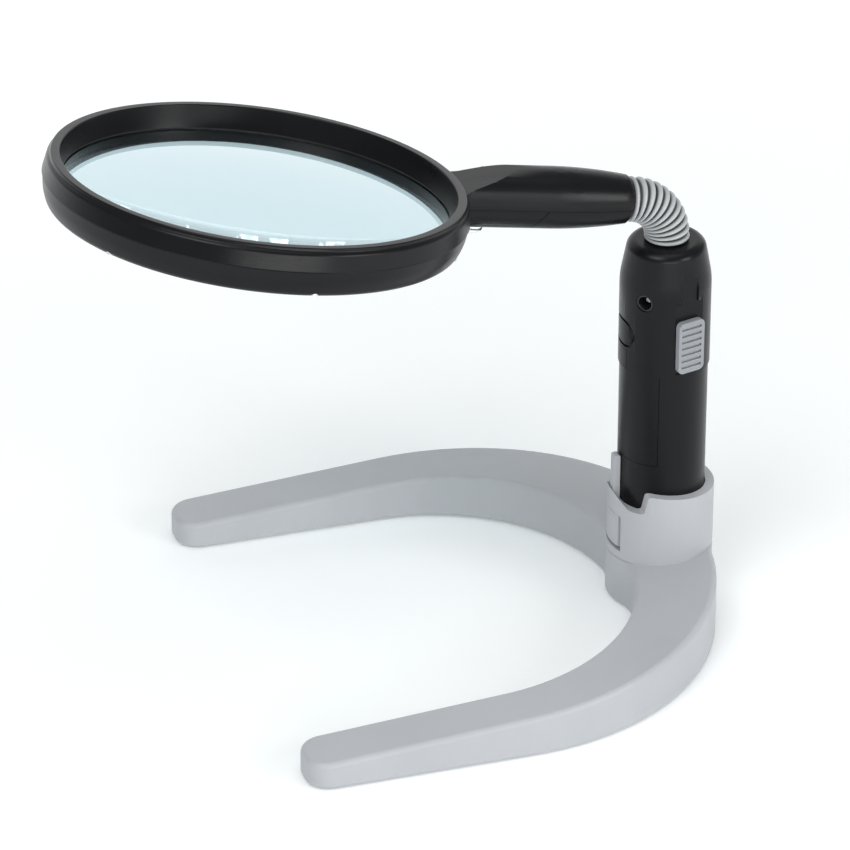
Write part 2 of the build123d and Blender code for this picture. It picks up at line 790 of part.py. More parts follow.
# ---------------------------------------------------------------- flexible neck

neck_rate = radians(1.0) * neck_bend_radius
half_turn = (neck_joint_angles[1] - neck_joint_angles[0]) / 2 * neck_rate - core_gap / 2
neck_lead = neck_joint_angles[0] * neck_rate - core_gap / 2
core_bottom_z = housing_top_z - core_depth


def tube(plane, length, outer, inner):
    """Straight round tube standing on a plane."""
    with BuildPart() as piece:
        with BuildSketch(plane):
            Circle(outer)
            Circle(inner, mode=Mode.SUBTRACT)
        extrude(amount=length)
    return piece.part


core_base_length = neck_start_z + neck_lead - core_bottom_z
finish(tube(Plane.XY.offset(core_bottom_z), core_base_length, core_radius, core_bore), "neck_core_base")
for turn, (low, high) in enumerate(zip(neck_joint_angles, neck_joint_angles[1:]), start=1):
    middle = neck_plane((low + high) / 2).offset(-half_turn)
    finish(tube(middle, 2 * half_turn, core_radius, core_bore), f"neck_core_turn_{turn}")
finish(tube(across.offset(-neck_lead), neck_lead + core_end_y, core_radius, core_bore), "neck_core_end")


def sleeve_piece(start, end):
    """Stretch of the neck's sleeve between two angles of the bend."""
    with BuildPart() as piece:
        with BuildSketch(neck_plane(start)):
            Circle(sleeve_radius)
            Circle(sleeve_bore, mode=Mode.SUBTRACT)
        revolve(axis=neck_centre, revolution_arc=end - start)
    return piece


sleeve_ends = [0.0, *neck_joint_angles, neck_bend_angle]
for number, (low, high) in enumerate(zip(sleeve_ends, sleeve_ends[1:]), start=1):
    first = number == 1
    last = number == len(sleeve_ends) - 1
    stretch = sleeve_piece(
        low if first else low + sleeve_seam_angle / 2,
        high if last else high - sleeve_seam_angle / 2,
    )
    with BuildPart() as sleeve:
        add(stretch.part)
        if first:
            add(tube(Plane.XY.offset(housing_top_z), neck_foot, ferrule_radius, sleeve_bore))
        if last:
            add(tube(across, arm_rear_y, sleeve_radius, sleeve_bore))
    finish(sleeve.part, f"neck_sleeve_{number}")

with BuildPart() as handle_nut:
    with BuildSketch(Plane.XY.offset(housing_top_z - handle_wall - nut_thick)):
        RegularPolygon(nut_radius, 6)
        Circle(core_radius, mode=Mode.SUBTRACT)
    extrude(amount=nut_thick)
finish(handle_nut.part, "handle_nut")

with BuildPart() as arm_nut:
    with BuildSketch(across.offset(arm_rear_y + arm_wall)):
        RegularPolygon(arm_nut_radius, 6)
        Circle(core_radius, mode=Mode.SUBTRACT)
    extrude(amount=nut_thick)
finish(arm_nut.part, "arm_nut")

# ---------------------------------------------------------------- arm and lens frame

arm_section = Plane(origin=head.origin, x_dir=arm_direction, z_dir=head.x_dir)
arm_axis = Axis(head.origin, arm_direction)
parting_z = ring_top_z - ring_seam_below_rim
lower_top_z = parting_z - seam_gap / 2
seat_below_rim = lens_edge_below_rim + lens_edge
lens_pocket = lens_radius + fit_gap
screw_ring = lens_radius + frame_screw_outside


def arm_profile(inset, end):
    """Half section of the arm, x along the arm and y its radius."""
    rear = arm_rear_y + inset
    rear_radius = arm_rear_radius - inset
    full_radius = arm_front_radius - inset
    with BuildSketch(arm_section) as profile:
        with BuildLine():
            Polyline(
                (rear, 0),
                (rear, rear_radius - arm_rear_chamfer),
                (rear + arm_rear_chamfer, rear_radius),
            )
            ThreePointArc(
                (rear + arm_rear_chamfer, rear_radius),
                (arm_middle_y, arm_middle_radius - inset),
                (arm_round_y, full_radius),
            )
            Polyline((arm_round_y, full_radius), (end, full_radius), (end, 0), (rear, 0))
        make_face()
    return profile.sketch


def ring_room():
    """Tall disc that trims the arm where the ring begins."""
    with BuildPart() as disc:
        with BuildSketch(head_plane(ring_centre_y, -2 * arm_front_radius)):
            Circle(lens_radius + ring_overlap)
        extrude(amount=4 * arm_front_radius)
    return disc.part


with BuildPart() as arm_tube:
    add(arm_profile(0, arm_reach))
    revolve(axis=arm_axis)
    add(ring_room(), mode=Mode.SUBTRACT)

with BuildPart() as arm_hollow:
    add(arm_profile(arm_wall, arm_hollow_end_y))
    revolve(axis=arm_axis)
    with BuildSketch(across.offset(arm_rear_y)):
        Circle(core_radius + fit_gap)
    extrude(amount=2 * arm_wall)


def web(bottom, top):
    """Web that widens from the arm to the ring, between two heights."""
    with BuildPart() as fan:
        with BuildSketch(head_plane(0, bottom)):
            with BuildLine():
                Line((0, web_start_y), (web_start_half_width, web_start_y))
                side = TangentArc(
                    (web_start_half_width, web_start_y),
                    (web_half_width, ring_centre_y - lens_radius),
                    tangent=(0, 1),
                )
                Line(side @ 1, (0, ring_centre_y - lens_radius))
                Line((0, ring_centre_y - lens_radius), (0, web_start_y))
            make_face()
            mirror(about=Plane.YZ)
        extrude(amount=top - bottom)
        add(ring_room(), mode=Mode.SUBTRACT)
    return fan.part


ramp_start = head.from_local_coords((0, ramp_start_y, arm_front_radius))
ramp_end = head.from_local_coords((0, ramp_end_y, ramp_end_z))
ramp = Plane(origin=ramp_start, x_dir=head.x_dir, z_dir=head.x_dir.cross(ramp_end - ramp_start))

with BuildPart() as lamp_hollow:
    with BuildSketch(head_plane(lamp_y, lamp_floor_z)):
        Rectangle(lamp_hollow_width, lamp_hollow_length)
    extrude(amount=ramp_end_z - arm_wall - lamp_floor_z)

with BuildPart() as upper_frame:
    add(arm_tube.part)
    split(bisect_by=head_plane(0, parting_z), keep=Keep.TOP)
    add(web(parting_z, arm_front_radius))
    split(bisect_by=ramp, keep=Keep.BOTTOM)
    add(arm_hollow.part, mode=Mode.SUBTRACT)
    add(lamp_hollow.part, mode=Mode.SUBTRACT)
    with BuildSketch(ring_section):
        with BuildLine():
            Polyline(
                (lens_sight_radius, -ring_seam_below_rim),
                (ring_top_inner, -rim_round),
                (ring_top_inner + rim_round, 0),
                (ring_top_outer - rim_round, 0),
                (ring_top_outer, -rim_round),
                (ring_top_outer + rim_lean, -rim_lip_height),
                (ring_top_outer + rim_lean + rim_step, -rim_lip_height - rim_step),
                (ring_widest, -ring_seam_below_rim),
                close=True,
            )
        make_face()
    revolve(axis=ring_axis)
    with BuildSketch(head_plane(ring_centre_y, parting_z)):
        with PolarLocations(screw_ring, frame_screws, start_angle=frame_screw_start):
            Circle(frame_screw_radius)
    extrude(amount=frame_screw_grip, mode=Mode.SUBTRACT)
finish(upper_frame.part, "upper_frame")

cover_joint = Plane(
    origin=head.from_local_coords((0, cover_seam_y, -arm_front_radius)),
    x_dir=head.x_dir,
    z_dir=arm_direction + head.z_dir * cover_seam_lean,
)

with BuildPart() as lower_frame:
    add(arm_tube.part)
    split(bisect_by=head_plane(0, lower_top_z), keep=Keep.BOTTOM)
    split(bisect_by=cover_joint.offset(seam_gap), keep=Keep.TOP)
    add(web(web_bottom_z, lower_top_z))
    add(arm_hollow.part, mode=Mode.SUBTRACT)
    add(lamp_hollow.part, mode=Mode.SUBTRACT)
    with BuildSketch(ring_section):
        with BuildLine():
            Polyline(
                (lens_pocket, -ring_seam_below_rim - seam_gap / 2),
                (ring_widest - lower_inset, -ring_seam_below_rim - seam_gap / 2),
                (ring_widest - lower_inset - lower_lean, -ring_depth + lower_shoulder),
                (ring_bottom_outer, -ring_depth + lower_round),
                (ring_bottom_outer - lower_round, -ring_depth),
                (ring_bottom_inner, -ring_depth),
                (ring_bottom_inner, -seat_below_rim),
                (lens_pocket, -seat_below_rim),
                close=True,
            )
        make_face()
    revolve(axis=ring_axis)
    with BuildSketch(head_plane(lamp_y, lamp_floor_z)):
        Circle(lamp_lens_radius + fit_gap)
    extrude(amount=-arm_front_radius, mode=Mode.SUBTRACT)
    with BuildSketch(head_plane(ring_centre_y, ring_top_z - ring_depth)):
        with PolarLocations(screw_ring, frame_screws, start_angle=frame_screw_start):
            Circle(frame_screw_radius)
    extrude(amount=ring_depth, mode=Mode.SUBTRACT)
    with BuildSketch(head_plane(ring_centre_y, ring_top_z - ring_depth)):
        with PolarLocations(screw_ring, frame_screws, start_angle=frame_screw_start):
            Circle(frame_screw_head + fit_gap)
    extrude(amount=frame_screw_sink, mode=Mode.SUBTRACT)
finish(lower_frame.part, "lower_frame")

with BuildPart() as arm_cover:
    add(arm_tube.part)
    split(bisect_by=head_plane(0, lower_top_z), keep=Keep.BOTTOM)
    split(bisect_by=cover_joint, keep=Keep.BOTTOM)
    add(arm_hollow.part, mode=Mode.SUBTRACT)
finish(arm_cover.part, "arm_cover")

with BuildPart() as frame_screws_group:
    with BuildSketch(head_plane(ring_centre_y, ring_top_z - ring_depth + frame_screw_sink)):
        with PolarLocations(screw_ring, frame_screws, start_angle=frame_screw_start):
            Circle(frame_screw_radius)
    extrude(amount=ring_depth - frame_screw_sink - ring_seam_below_rim + frame_screw_grip)
    with BuildSketch(head_plane(ring_centre_y, ring_top_z - ring_depth + frame_screw_gap)):
        with PolarLocations(screw_ring, frame_screws, start_angle=frame_screw_start):
            Circle(frame_screw_head)
    extrude(amount=frame_screw_sink - frame_screw_gap)
    with BuildSketch(head_plane(ring_centre_y, ring_top_z - ring_depth + frame_screw_gap)):
        with PolarLocations(screw_ring, frame_screws, start_angle=frame_screw_start):
            Rectangle(frame_screw_cross[0], frame_screw_cross[1])
            Rectangle(frame_screw_cross[1], frame_screw_cross[0])
    extrude(amount=frame_screw_cross[2], mode=Mode.SUBTRACT)
finish(frame_screws_group.part, "frame_screws")

lens_sag = lens_curve_radius - sqrt(lens_curve_radius**2 - ring_bottom_inner**2)
with BuildPart() as lens:
    with BuildSketch(ring_section):
        with BuildLine():
            top = RadiusArc(
                (0, -lens_edge_below_rim + lens_sag),
                (ring_bottom_inner, -lens_edge_below_rim),
                lens_curve_radius,
            )
            Polyline(
                top @ 1,
                (lens_radius, -lens_edge_below_rim),
                (lens_radius, -seat_below_rim),
                (ring_bottom_inner, -seat_below_rim),
            )
            low = RadiusArc(
                (ring_bottom_inner, -seat_below_rim),
                (0, -seat_below_rim - lens_sag),
                lens_curve_radius,
            )
            Line(low @ 1, top @ 0)
        make_face()
    revolve(axis=ring_axis)
finish(lens.part, "lens")

with BuildPart() as lens_gasket:
    with BuildSketch(head_plane(ring_centre_y, ring_top_z - lens_edge_below_rim)):
        Circle(lens_radius)
        Circle(ring_bottom_inner, mode=Mode.SUBTRACT)
    extrude(amount=lens_edge_below_rim - ring_seam_below_rim)
finish(lens_gasket.part, "lens_gasket")

# ---------------------------------------------------------------- reading lamp

with BuildPart() as lamp_lens:
    with BuildSketch(head_plane(lamp_y, lamp_floor_z)):
        Circle(lamp_lens_radius + lamp_lens_flange)
    extrude(amount=lamp_lens_flange)
    with BuildSketch(head_plane(lamp_y, lamp_floor_z)):
        Circle(lamp_lens_radius)
    extrude(amount=-(arm_front_radius + lamp_lens_proud + lamp_floor_z))
    tip = lamp_lens.edges().sort_by(Axis(head.origin, head.z_dir))[0]
    fillet(tip, lamp_lens_proud)
finish(lamp_lens.part, "lamp_lens")

board_z = lamp_floor_z + lamp_board_height
with BuildPart() as lamp_board:
    with BuildSketch(head_plane(lamp_y, board_z)):
        Rectangle(lamp_hollow_width - 2 * fit_gap, lamp_hollow_length - 2 * fit_gap)
    extrude(amount=1.0)
finish(lamp_board.part, "lamp_board")

with BuildPart() as lamp_leds:
    with BuildSketch(head_plane(lamp_y, board_z)):
        with GridLocations(0, 3.4, 1, 2):
            Rectangle(2.8, 2.8)
    extrude(amount=-1.4)
finish(lamp_leds.part, "lamp_leds")
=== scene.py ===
"""Stand magnifier for low vision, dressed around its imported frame.

Every piece is in metres and in the frame's own axes: +Z up, -Y towards the reader.
"""

import json
from math import atan2, cos, degrees, pi, radians, sin, sqrt

import bmesh
import bpy
import numpy as np
from mathutils import Matrix, Vector


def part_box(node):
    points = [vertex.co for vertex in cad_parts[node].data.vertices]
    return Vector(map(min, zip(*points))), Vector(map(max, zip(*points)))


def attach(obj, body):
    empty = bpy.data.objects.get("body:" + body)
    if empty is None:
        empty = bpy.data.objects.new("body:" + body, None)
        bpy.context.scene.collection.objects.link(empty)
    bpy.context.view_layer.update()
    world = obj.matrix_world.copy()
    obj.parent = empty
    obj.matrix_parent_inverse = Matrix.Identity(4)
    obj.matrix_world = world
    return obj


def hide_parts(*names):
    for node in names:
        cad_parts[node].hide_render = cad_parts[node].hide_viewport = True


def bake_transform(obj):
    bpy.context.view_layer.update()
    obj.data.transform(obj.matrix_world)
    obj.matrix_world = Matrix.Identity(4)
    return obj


bl_info = {
    "name": "Stand Magnifier Dresser",
    "version": (1, 0, 0),
    "blender": (4, 5, 0),
    "location": "View3D > Sidebar > Magnifier",
    "description": "Builds the finished surfaces of a low vision stand magnifier",
    "category": "Object",
}

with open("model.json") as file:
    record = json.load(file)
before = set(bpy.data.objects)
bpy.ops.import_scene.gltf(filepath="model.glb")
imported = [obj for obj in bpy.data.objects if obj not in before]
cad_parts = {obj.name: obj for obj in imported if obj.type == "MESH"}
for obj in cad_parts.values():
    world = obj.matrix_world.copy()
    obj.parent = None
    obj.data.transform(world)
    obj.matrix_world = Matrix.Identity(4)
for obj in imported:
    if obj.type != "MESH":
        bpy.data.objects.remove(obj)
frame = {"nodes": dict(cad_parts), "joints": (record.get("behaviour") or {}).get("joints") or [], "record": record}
MM = 0.001


# ------------------------------------------------------------------ frame facts

JOINTS = {joint["name"]: joint for joint in frame["joints"]}
HINGES = ("neck_nod_lower", "neck_sway_lower", "neck_nod_upper", "neck_sway_upper")


def joint_place(name):
    """Where a hinge of the frame stands."""
    return Vector(JOINTS[name]["pos_m"])


def arc_centre_and_radius():
    """Centre of the neck's bend, in the YZ plane, from its first three hinges."""
    a, b, c = (joint_place(hinge) for hinge in HINGES[:3])
    first, second = (a + b) / 2, (b + c) / 2
    along_first, along_second = b - a, c - b
    system = Matrix(((along_first.y, along_first.z), (along_second.y, along_second.z)))
    right = Vector((first.dot(along_first), second.dot(along_second)))
    y, z = system.inverted() @ right
    centre = Vector((0.0, y, z))
    return centre, (a - centre).length


NECK_CENTRE, NECK_RADIUS = arc_centre_and_radius()


def neck_angle(point):
    """How far round the bend a point of the YZ plane is, in degrees from the upright."""
    offset = point - NECK_CENTRE
    return degrees(atan2(offset.z, offset.y))


def neck_point(angle):
    """Centre line of the neck; beyond the bend's two ends it runs straight."""
    limit = min(max(angle, 0.0), NECK_END_ANGLE)
    a = radians(limit)
    point = NECK_CENTRE + Vector((0.0, cos(a), sin(a))) * NECK_RADIUS
    along = Vector((0.0, -sin(a), cos(a)))
    return point + along * (NECK_RADIUS * radians(angle - limit)), along


NECK_STEP = neck_angle(joint_place(HINGES[1])) - neck_angle(joint_place(HINGES[0]))
NECK_END_ANGLE = neck_angle(joint_place(HINGES[-1])) + NECK_STEP / 2


# ------------------------------------------------------------------ shader maths


class Value:
    """A shader value with arithmetic; every expression adds its own Math nodes."""

    def __init__(self, paint, socket):
        self.paint = paint
        self.socket = socket

    def _math(self, operation, *others):
        return self.paint.node("ShaderNodeMath", {"operation": operation}, [self, *others])

    def __add__(self, other):
        return self._math("ADD", other)

    def __sub__(self, other):
        return self._math("SUBTRACT", other)

    def __mul__(self, other):
        return self._math("MULTIPLY", other)

    def clamped(self):
        """The value kept between 0 and 1."""
        return self._math("MAXIMUM", 0.0)._math("MINIMUM", 1.0)

    def ramp(self, low, high):
        """0 below low, 1 above high, smooth between them."""
        return self.paint.node(
            "ShaderNodeMapRange",
            {"interpolation_type": "SMOOTHSTEP"},
            {"Value": self, "From Min": low, "From Max": high},
        )


class Paint:
    """One node material, built by short calls."""

    def __init__(self, name):
        self.material = bpy.data.materials.new(name)
        self.material.use_nodes = True
        self.tree = self.material.node_tree
        self.shader = self.tree.nodes["Principled BSDF"]
        self.place = self.node("ShaderNodeTexCoord", output="Object")

    def node(self, kind, settings=None, inputs=None, output=0):
        """Add a node, apply its settings, then its values and links; return one output."""
        made = self.tree.nodes.new(kind)
        for key, value in (settings or {}).items():
            setattr(made, key, value)
        pairs = inputs.items() if isinstance(inputs, dict) else enumerate(inputs or [])
        for key, value in pairs:
            self.set(made.inputs[key], value)
        return Value(self, made.outputs[output])

    def set(self, socket, value):
        """Link a shader value to a socket, or write a plain one into it."""
        if isinstance(value, Value):
            self.tree.links.new(value.socket, socket)
        else:
            socket.default_value = value

    def noise(self, scale, detail=3.0, roughness=0.5, stretch=None):
        """Soft noise, scale in waves per metre, stretched along the three axes if asked."""
        where = self.place
        if stretch:
            where = self.node("ShaderNodeMapping", None, {"Vector": where, "Scale": stretch})
        return self.node(
            "ShaderNodeTexNoise",
            None,
            {"Vector": where, "Scale": scale, "Detail": detail, "Roughness": roughness},
        )

    def grain(self, scale):
        """Pebbled mould texture, 0 to 1."""
        return self.node(
            "ShaderNodeTexVoronoi", None, {"Vector": self.place, "Scale": scale}, "Distance"
        )

    def mix(self, factor, first, second):
        """Colour between first and second."""
        return self.node(
            "ShaderNodeMix",
            {"data_type": "RGBA"},
            {0: factor, 6: first, 7: second},
            output=2,
        )

    def bump(self, height, distance, strength=1.0):
        """Normal of a surface that a height of 1 lifts by a distance."""
        return self.node(
            "ShaderNodeBump", None, {"Strength": strength, "Distance": distance, "Height": height}
        )

    def apply(self, **sockets):
        """Set or link the shader's own sockets, named with underscores for spaces."""
        for key, value in sockets.items():
            self.set(self.shader.inputs[key.replace("_", " ")], value)
        return self.material


def shade(colour, gain):
    """A colour made lighter or darker by a gain, with alpha 1."""
    return (*[min(channel * gain, 1.0) for channel in colour[:3]], 1.0)


def moulded_plastic(name, colour, roughness, grain_size, grain_height, spread=0.06, shine=0.5):
    """Injection-moulded plastic: fine pebbled grain, faint flow marks, handling wear."""
    paint = Paint(name)
    grain = paint.grain(1.0 / grain_size)
    flow = paint.noise(28.0, 4.0, 0.6, (1.0, 1.0, 0.45))
    smear = paint.noise(95.0, 3.0, 0.65)
    dust = paint.noise(900.0, 2.0, 0.5)
    tone = paint.mix(flow.ramp(0.3, 0.7), shade(colour, 1 - spread), shade(colour, 1 + spread))
    height = grain * 0.8 + dust * 0.35
    return paint.apply(
        Base_Color=tone,
        Roughness=(flow * 0.07 + smear * 0.08 + dust * 0.05 + (roughness - 0.1)).clamped(),
        Specular_IOR_Level=shine,
        Normal=paint.bump(height, grain_height, 0.6),
    )


def machined_metal(name, colour, roughness, brushed=1.0):
    """Turned or brushed metal with fine scratches along its turns."""
    paint = Paint(name)
    scratches = paint.noise(500.0, 4.0, 0.7, (0.2, 1.0, 3.0))
    tarnish = paint.noise(60.0, 3.0, 0.5)
    tone = paint.mix(tarnish.ramp(0.35, 0.75), shade(colour, 0.86), shade(colour, 1.05))
    return paint.apply(
        Base_Color=tone,
        Metallic=1.0,
        Roughness=(scratches * 0.16 * brushed + tarnish * 0.08 + roughness).clamped(),
        Normal=paint.bump(scratches, 0.00002, 0.5 * brushed),
    )


def soft_rubber(name, colour, roughness, grain_size=0.0006):
    """Matt rubber or vinyl with a dry, slightly blotched surface."""
    paint = Paint(name)
    blotch = paint.noise(120.0, 4.0, 0.6)
    grain = paint.grain(1.0 / grain_size)
    tone = paint.mix(blotch.ramp(0.3, 0.7), shade(colour, 0.9), shade(colour, 1.08))
    return paint.apply(
        Base_Color=tone,
        Roughness=(blotch * 0.14 + (roughness - 0.07)).clamped(),
        Sheen_Weight=0.12,
        Normal=paint.bump(grain + blotch * 0.4, 0.00004, 0.6),
    )


ACRYLIC_BEND = 1.49
LENS_BEND = 1.06        # far below acrylic, so that the view through the lens stays calm


def clear_plastic(name, tint, roughness, haze, bend):
    """Clear acrylic with faint wiping marks."""
    paint = Paint(name)
    wipes = paint.noise(40.0, 5.0, 0.6, (1.0, 3.0, 1.0))
    return paint.apply(
        Base_Color=(*tint[:3], 1.0),
        Transmission_Weight=1.0,
        IOR=bend,
        Coat_Weight=1.0,
        Coat_IOR=ACRYLIC_BEND,
        Coat_Roughness=0.02,
        Roughness=(wipes.ramp(0.45, 0.8) * haze + roughness).clamped(),
    )


def pleated_vinyl(name, colour):
    """Vinyl of the sleeve: clean ridges, with shade painted into the grooves."""
    paint = Paint(name)
    groove = paint.node("ShaderNodeAttribute", {"attribute_name": "groove"}, None, "Fac")
    blotch = paint.noise(140.0, 4.0, 0.6)
    # painted shade: the grooves' colour is darkened towards near black, standing in for the shade that falls in
    # the pleats; the same mask also makes them rougher
    painted_groove_shade = (groove + blotch * 0.16 - 0.08).ramp(0.25, 0.8)
    tone = paint.mix(blotch.ramp(0.3, 0.7), shade(colour, 0.94), shade(colour, 1.05))
    return paint.apply(
        Base_Color=paint.mix(painted_groove_shade, tone, shade(colour, 0.12)),
        Roughness=(blotch * 0.12 + painted_groove_shade * 0.25 + 0.38).clamped(),
        Normal=paint.bump(blotch, 0.00004, 0.5),
    )


def circuit_green(name, colour):
    """Solder-resist green with the lighter lines of copper tracks below it."""
    paint = Paint(name)
    tracks = paint.node(
        "ShaderNodeTexWave",
        {"wave_type": "BANDS", "bands_direction": "Z"},
        {"Vector": paint.place, "Scale": 420.0, "Distortion": 3.0, "Detail": 2.0},
        "Fac",
    )
    tone = paint.mix(tracks.ramp(0.7, 0.8), shade(colour, 1.0), shade(colour, 1.7))
    return paint.apply(
        Base_Color=tone, Roughness=0.35, Normal=paint.bump(tracks.ramp(0.7, 0.8), 0.00003)
    )


def cell_wrap(name, colour, band):
    """Printed film of a dry cell: two plain fields with a metallic ring, no lettering."""
    paint = Paint(name)
    height = paint.node("ShaderNodeSeparateXYZ", None, {"Vector": paint.place}, "Z")
    low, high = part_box("battery_cells")
    split = low.z + (high.z - low.z) * 0.62
    upper = height.ramp(split, split + 0.0004)
    smear = paint.noise(150.0, 3.0)
    return paint.apply(
        Base_Color=paint.mix(upper, shade(colour, 1.0), shade(band, 1.0)),
        Metallic=upper * 0.8,
        Roughness=(smear * 0.15 + 0.22).clamped(),
    )


def finishes(look):
    """Maker and settings of every finish, by the record's material slots."""
    return {
        "grey_plastic": (
            moulded_plastic,
            {
                "colour": look.grey,
                "roughness": 0.46,
                "grain_size": 0.55 * MM,
                "grain_height": 0.04 * MM,
                "spread": 0.025,
            },
        ),
        "black_plastic": (
            moulded_plastic,
            {
                "colour": look.black,
                "roughness": 0.30,
                "grain_size": 0.6 * MM,
                "grain_height": 0.03 * MM,
                "spread": 0.12,
                "shine": 0.2,
            },
        ),
        "switch_grey": (
            moulded_plastic,
            {
                "colour": look.switch,
                "roughness": 0.5,
                "grain_size": 0.4 * MM,
                "grain_height": 0.03 * MM,
                "spread": 0.03,
            },
        ),
        "component_black": (
            moulded_plastic,
            {
                "colour": (0.018, 0.018, 0.02),
                "roughness": 0.55,
                "grain_size": 0.5 * MM,
                "grain_height": 0.03 * MM,
            },
        ),
        "inlet_black": (
            moulded_plastic,
            {
                "colour": (0.01, 0.01, 0.011),
                "roughness": 0.22,
                "grain_size": 0.8 * MM,
                "grain_height": 0.01 * MM,
            },
        ),
        "sleeve_grey": (pleated_vinyl, {"colour": look.sleeve}),
        "foot_rubber": (soft_rubber, {"colour": look.foot, "roughness": 0.85}),
        "gasket_black": (soft_rubber, {"colour": (0.02, 0.02, 0.022), "roughness": 0.8}),
        "led_white": (soft_rubber, {"colour": (0.85, 0.8, 0.5), "roughness": 0.35}),
        "lens_clear": (
            clear_plastic,
            {"tint": look.lens, "roughness": 0.0, "haze": 0.03, "bend": LENS_BEND},
        ),
        "lamp_clear": (
            clear_plastic,
            {"tint": (0.96, 0.98, 1.0), "roughness": 0.03, "haze": 0.05, "bend": ACRYLIC_BEND},
        ),
        "steel": (machined_metal, {"colour": (0.62, 0.62, 0.63), "roughness": 0.22}),
        "ballast_steel": (machined_metal, {"colour": (0.34, 0.34, 0.35), "roughness": 0.38}),
        "contact_brass": (
            machined_metal,
            {"colour": (0.78, 0.66, 0.42), "roughness": 0.2, "brushed": 0.6},
        ),
        "board_green": (circuit_green, {"colour": (0.02, 0.16, 0.07)}),
        "cell_wrap": (cell_wrap, {"colour": (0.02, 0.05, 0.12), "band": (0.72, 0.6, 0.38)}),
    }


MATERIALS = {}


def finish_of(slot):
    """The material for a slot of the record, made once."""
    if slot not in MATERIALS:
        maker, settings = finishes(bpy.context.scene.magnifier_finish)[slot]
        MATERIALS[slot] = maker(slot, **settings)
    return MATERIALS[slot]


# ------------------------------------------------------------------ meshes

NODE_SLOT = {part["node"]: part["material_slot"] for part in frame["record"]["subparts"]}


def link(name, data):
    """A new object at the origin that holds a mesh, curve, light or camera."""
    obj = bpy.data.objects.new(name, data)
    bpy.context.scene.collection.objects.link(obj)
    return obj


def settle(obj, slot, body=None, nodes=(), angle=20.0):
    """Material, shading that is smooth up to an angle, and the frame's calls for a finished mesh."""
    obj.data.materials.clear()
    obj.data.materials.append(finish_of(slot))
    obj.data.shade_smooth()
    obj.data.set_sharp_from_angle(angle=radians(angle))
    weighted = obj.modifiers.new("weighted normals", "WEIGHTED_NORMAL")
    weighted.keep_sharp = True
    apply_modifiers(obj)
    if body:
        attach(obj, body)
    if nodes:
        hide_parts(*nodes)
    return obj


WELD_REACH = 0.002 * MM
FLAT_ANGLE = radians(0.4)
BEVEL_ANGLE = radians(38)


def merged_copy(node):
    """A copy of a CAD node's mesh with its loose triangles joined and flat fields dissolved."""
    bm = bmesh.new()
    bm.from_mesh(frame["nodes"][node].data)
    bmesh.ops.remove_doubles(bm, verts=bm.verts, dist=WELD_REACH)
    bmesh.ops.dissolve_limit(
        bm, angle_limit=FLAT_ANGLE, verts=bm.verts, edges=bm.edges, delimit={"NORMAL"}
    )
    mesh = bpy.data.meshes.new(node + "_surface")
    bm.to_mesh(mesh)
    bm.free()
    return mesh


def apply_modifiers(obj):
    """Turn an object's modifiers into its plain mesh."""
    graph = bpy.context.evaluated_depsgraph_get()
    mesh = bpy.data.meshes.new_from_object(obj.evaluated_get(graph))
    obj.modifiers.clear()
    obj.data = mesh
    return obj


def dress(node, body, edge=0.0):
    """Stand-in for a CAD shell with the same shape, softened edges and smooth shading."""
    obj = link(node + "_skin", merged_copy(node))
    if edge:
        bevel = obj.modifiers.new("soft edges", "BEVEL")
        bevel.width = edge
        bevel.segments = 2
        bevel.angle_limit = BEVEL_ANGLE
        apply_modifiers(obj)
    return settle(obj, NODE_SLOT[node], body, [node])


def carry(*nodes):
    """CAD nodes that stay as they are and only get their finish."""
    for node in nodes:
        mesh = frame["nodes"][node].data
        mesh.materials.clear()
        mesh.materials.append(finish_of(NODE_SLOT[node]))


# ------------------------------------------------------------------ settings


def length_setting(name, description, default):
    """A length in the panel."""
    return bpy.props.FloatProperty(
        name=name, description=description, default=default, subtype="DISTANCE", unit="LENGTH"
    )


def colour_setting(name, description, default):
    """A colour in the panel."""
    return bpy.props.FloatVectorProperty(
        name=name, description=description, default=default, subtype="COLOR", size=3, min=0, max=1
    )


class MagnifierFinish(bpy.types.PropertyGroup):
    """Colours of the mouldings."""

    grey: colour_setting("Base grey", "Plastic of the base and socket", (0.42, 0.435, 0.455))
    black: colour_setting("Black", "Plastic of handle, arm and ring", (0.004, 0.0042, 0.005))
    switch: colour_setting("Switch grey", "Plastic of the slide switch", (0.25, 0.262, 0.28))
    sleeve: colour_setting("Sleeve grey", "Vinyl of the neck's sleeve", (0.40, 0.415, 0.425))
    foot: colour_setting("Foot grey", "Rubber of the feet", (0.24, 0.25, 0.27))
    lens: colour_setting("Lens tint", "Tint of the lens", (0.585, 0.745, 0.79))


class MagnifierNeck(bpy.types.PropertyGroup):
    """Sizes of the neck's corrugated sleeve."""

    ridges: bpy.props.IntProperty(
        name="Ridges", description="Rings along the sleeve", default=11, min=4, max=40
    )
    radius: length_setting("Radius", "Outer radius at the ridges", 7.9 * MM)
    depth: length_setting("Groove depth", "How far the grooves cut in", 1.5 * MM)
    wall: length_setting("Wall", "Thickness of the sleeve", 1.0 * MM)


class MagnifierRing(bpy.types.PropertyGroup):
    """Sizes of the ring frame and the lens."""

    steps: bpy.props.IntProperty(
        name="Steps", description="Sides of the turned pieces", default=240, min=24, max=720
    )
    lens_radius: length_setting("Lens radius", "Radius of the lens", 67.4 * MM)
    lens_curve: length_setting("Lens curve", "Radius of both lens faces", 350.0 * MM)
    rim_height: length_setting("Rim height", "Rim above the lens's middle plane", 9.4 * MM)
    seam_depth: length_setting("Seam depth", "Seam of the two halves below the rim", 7.8 * MM)
    depth: length_setting("Depth", "Whole depth of the ring", 17.1 * MM)


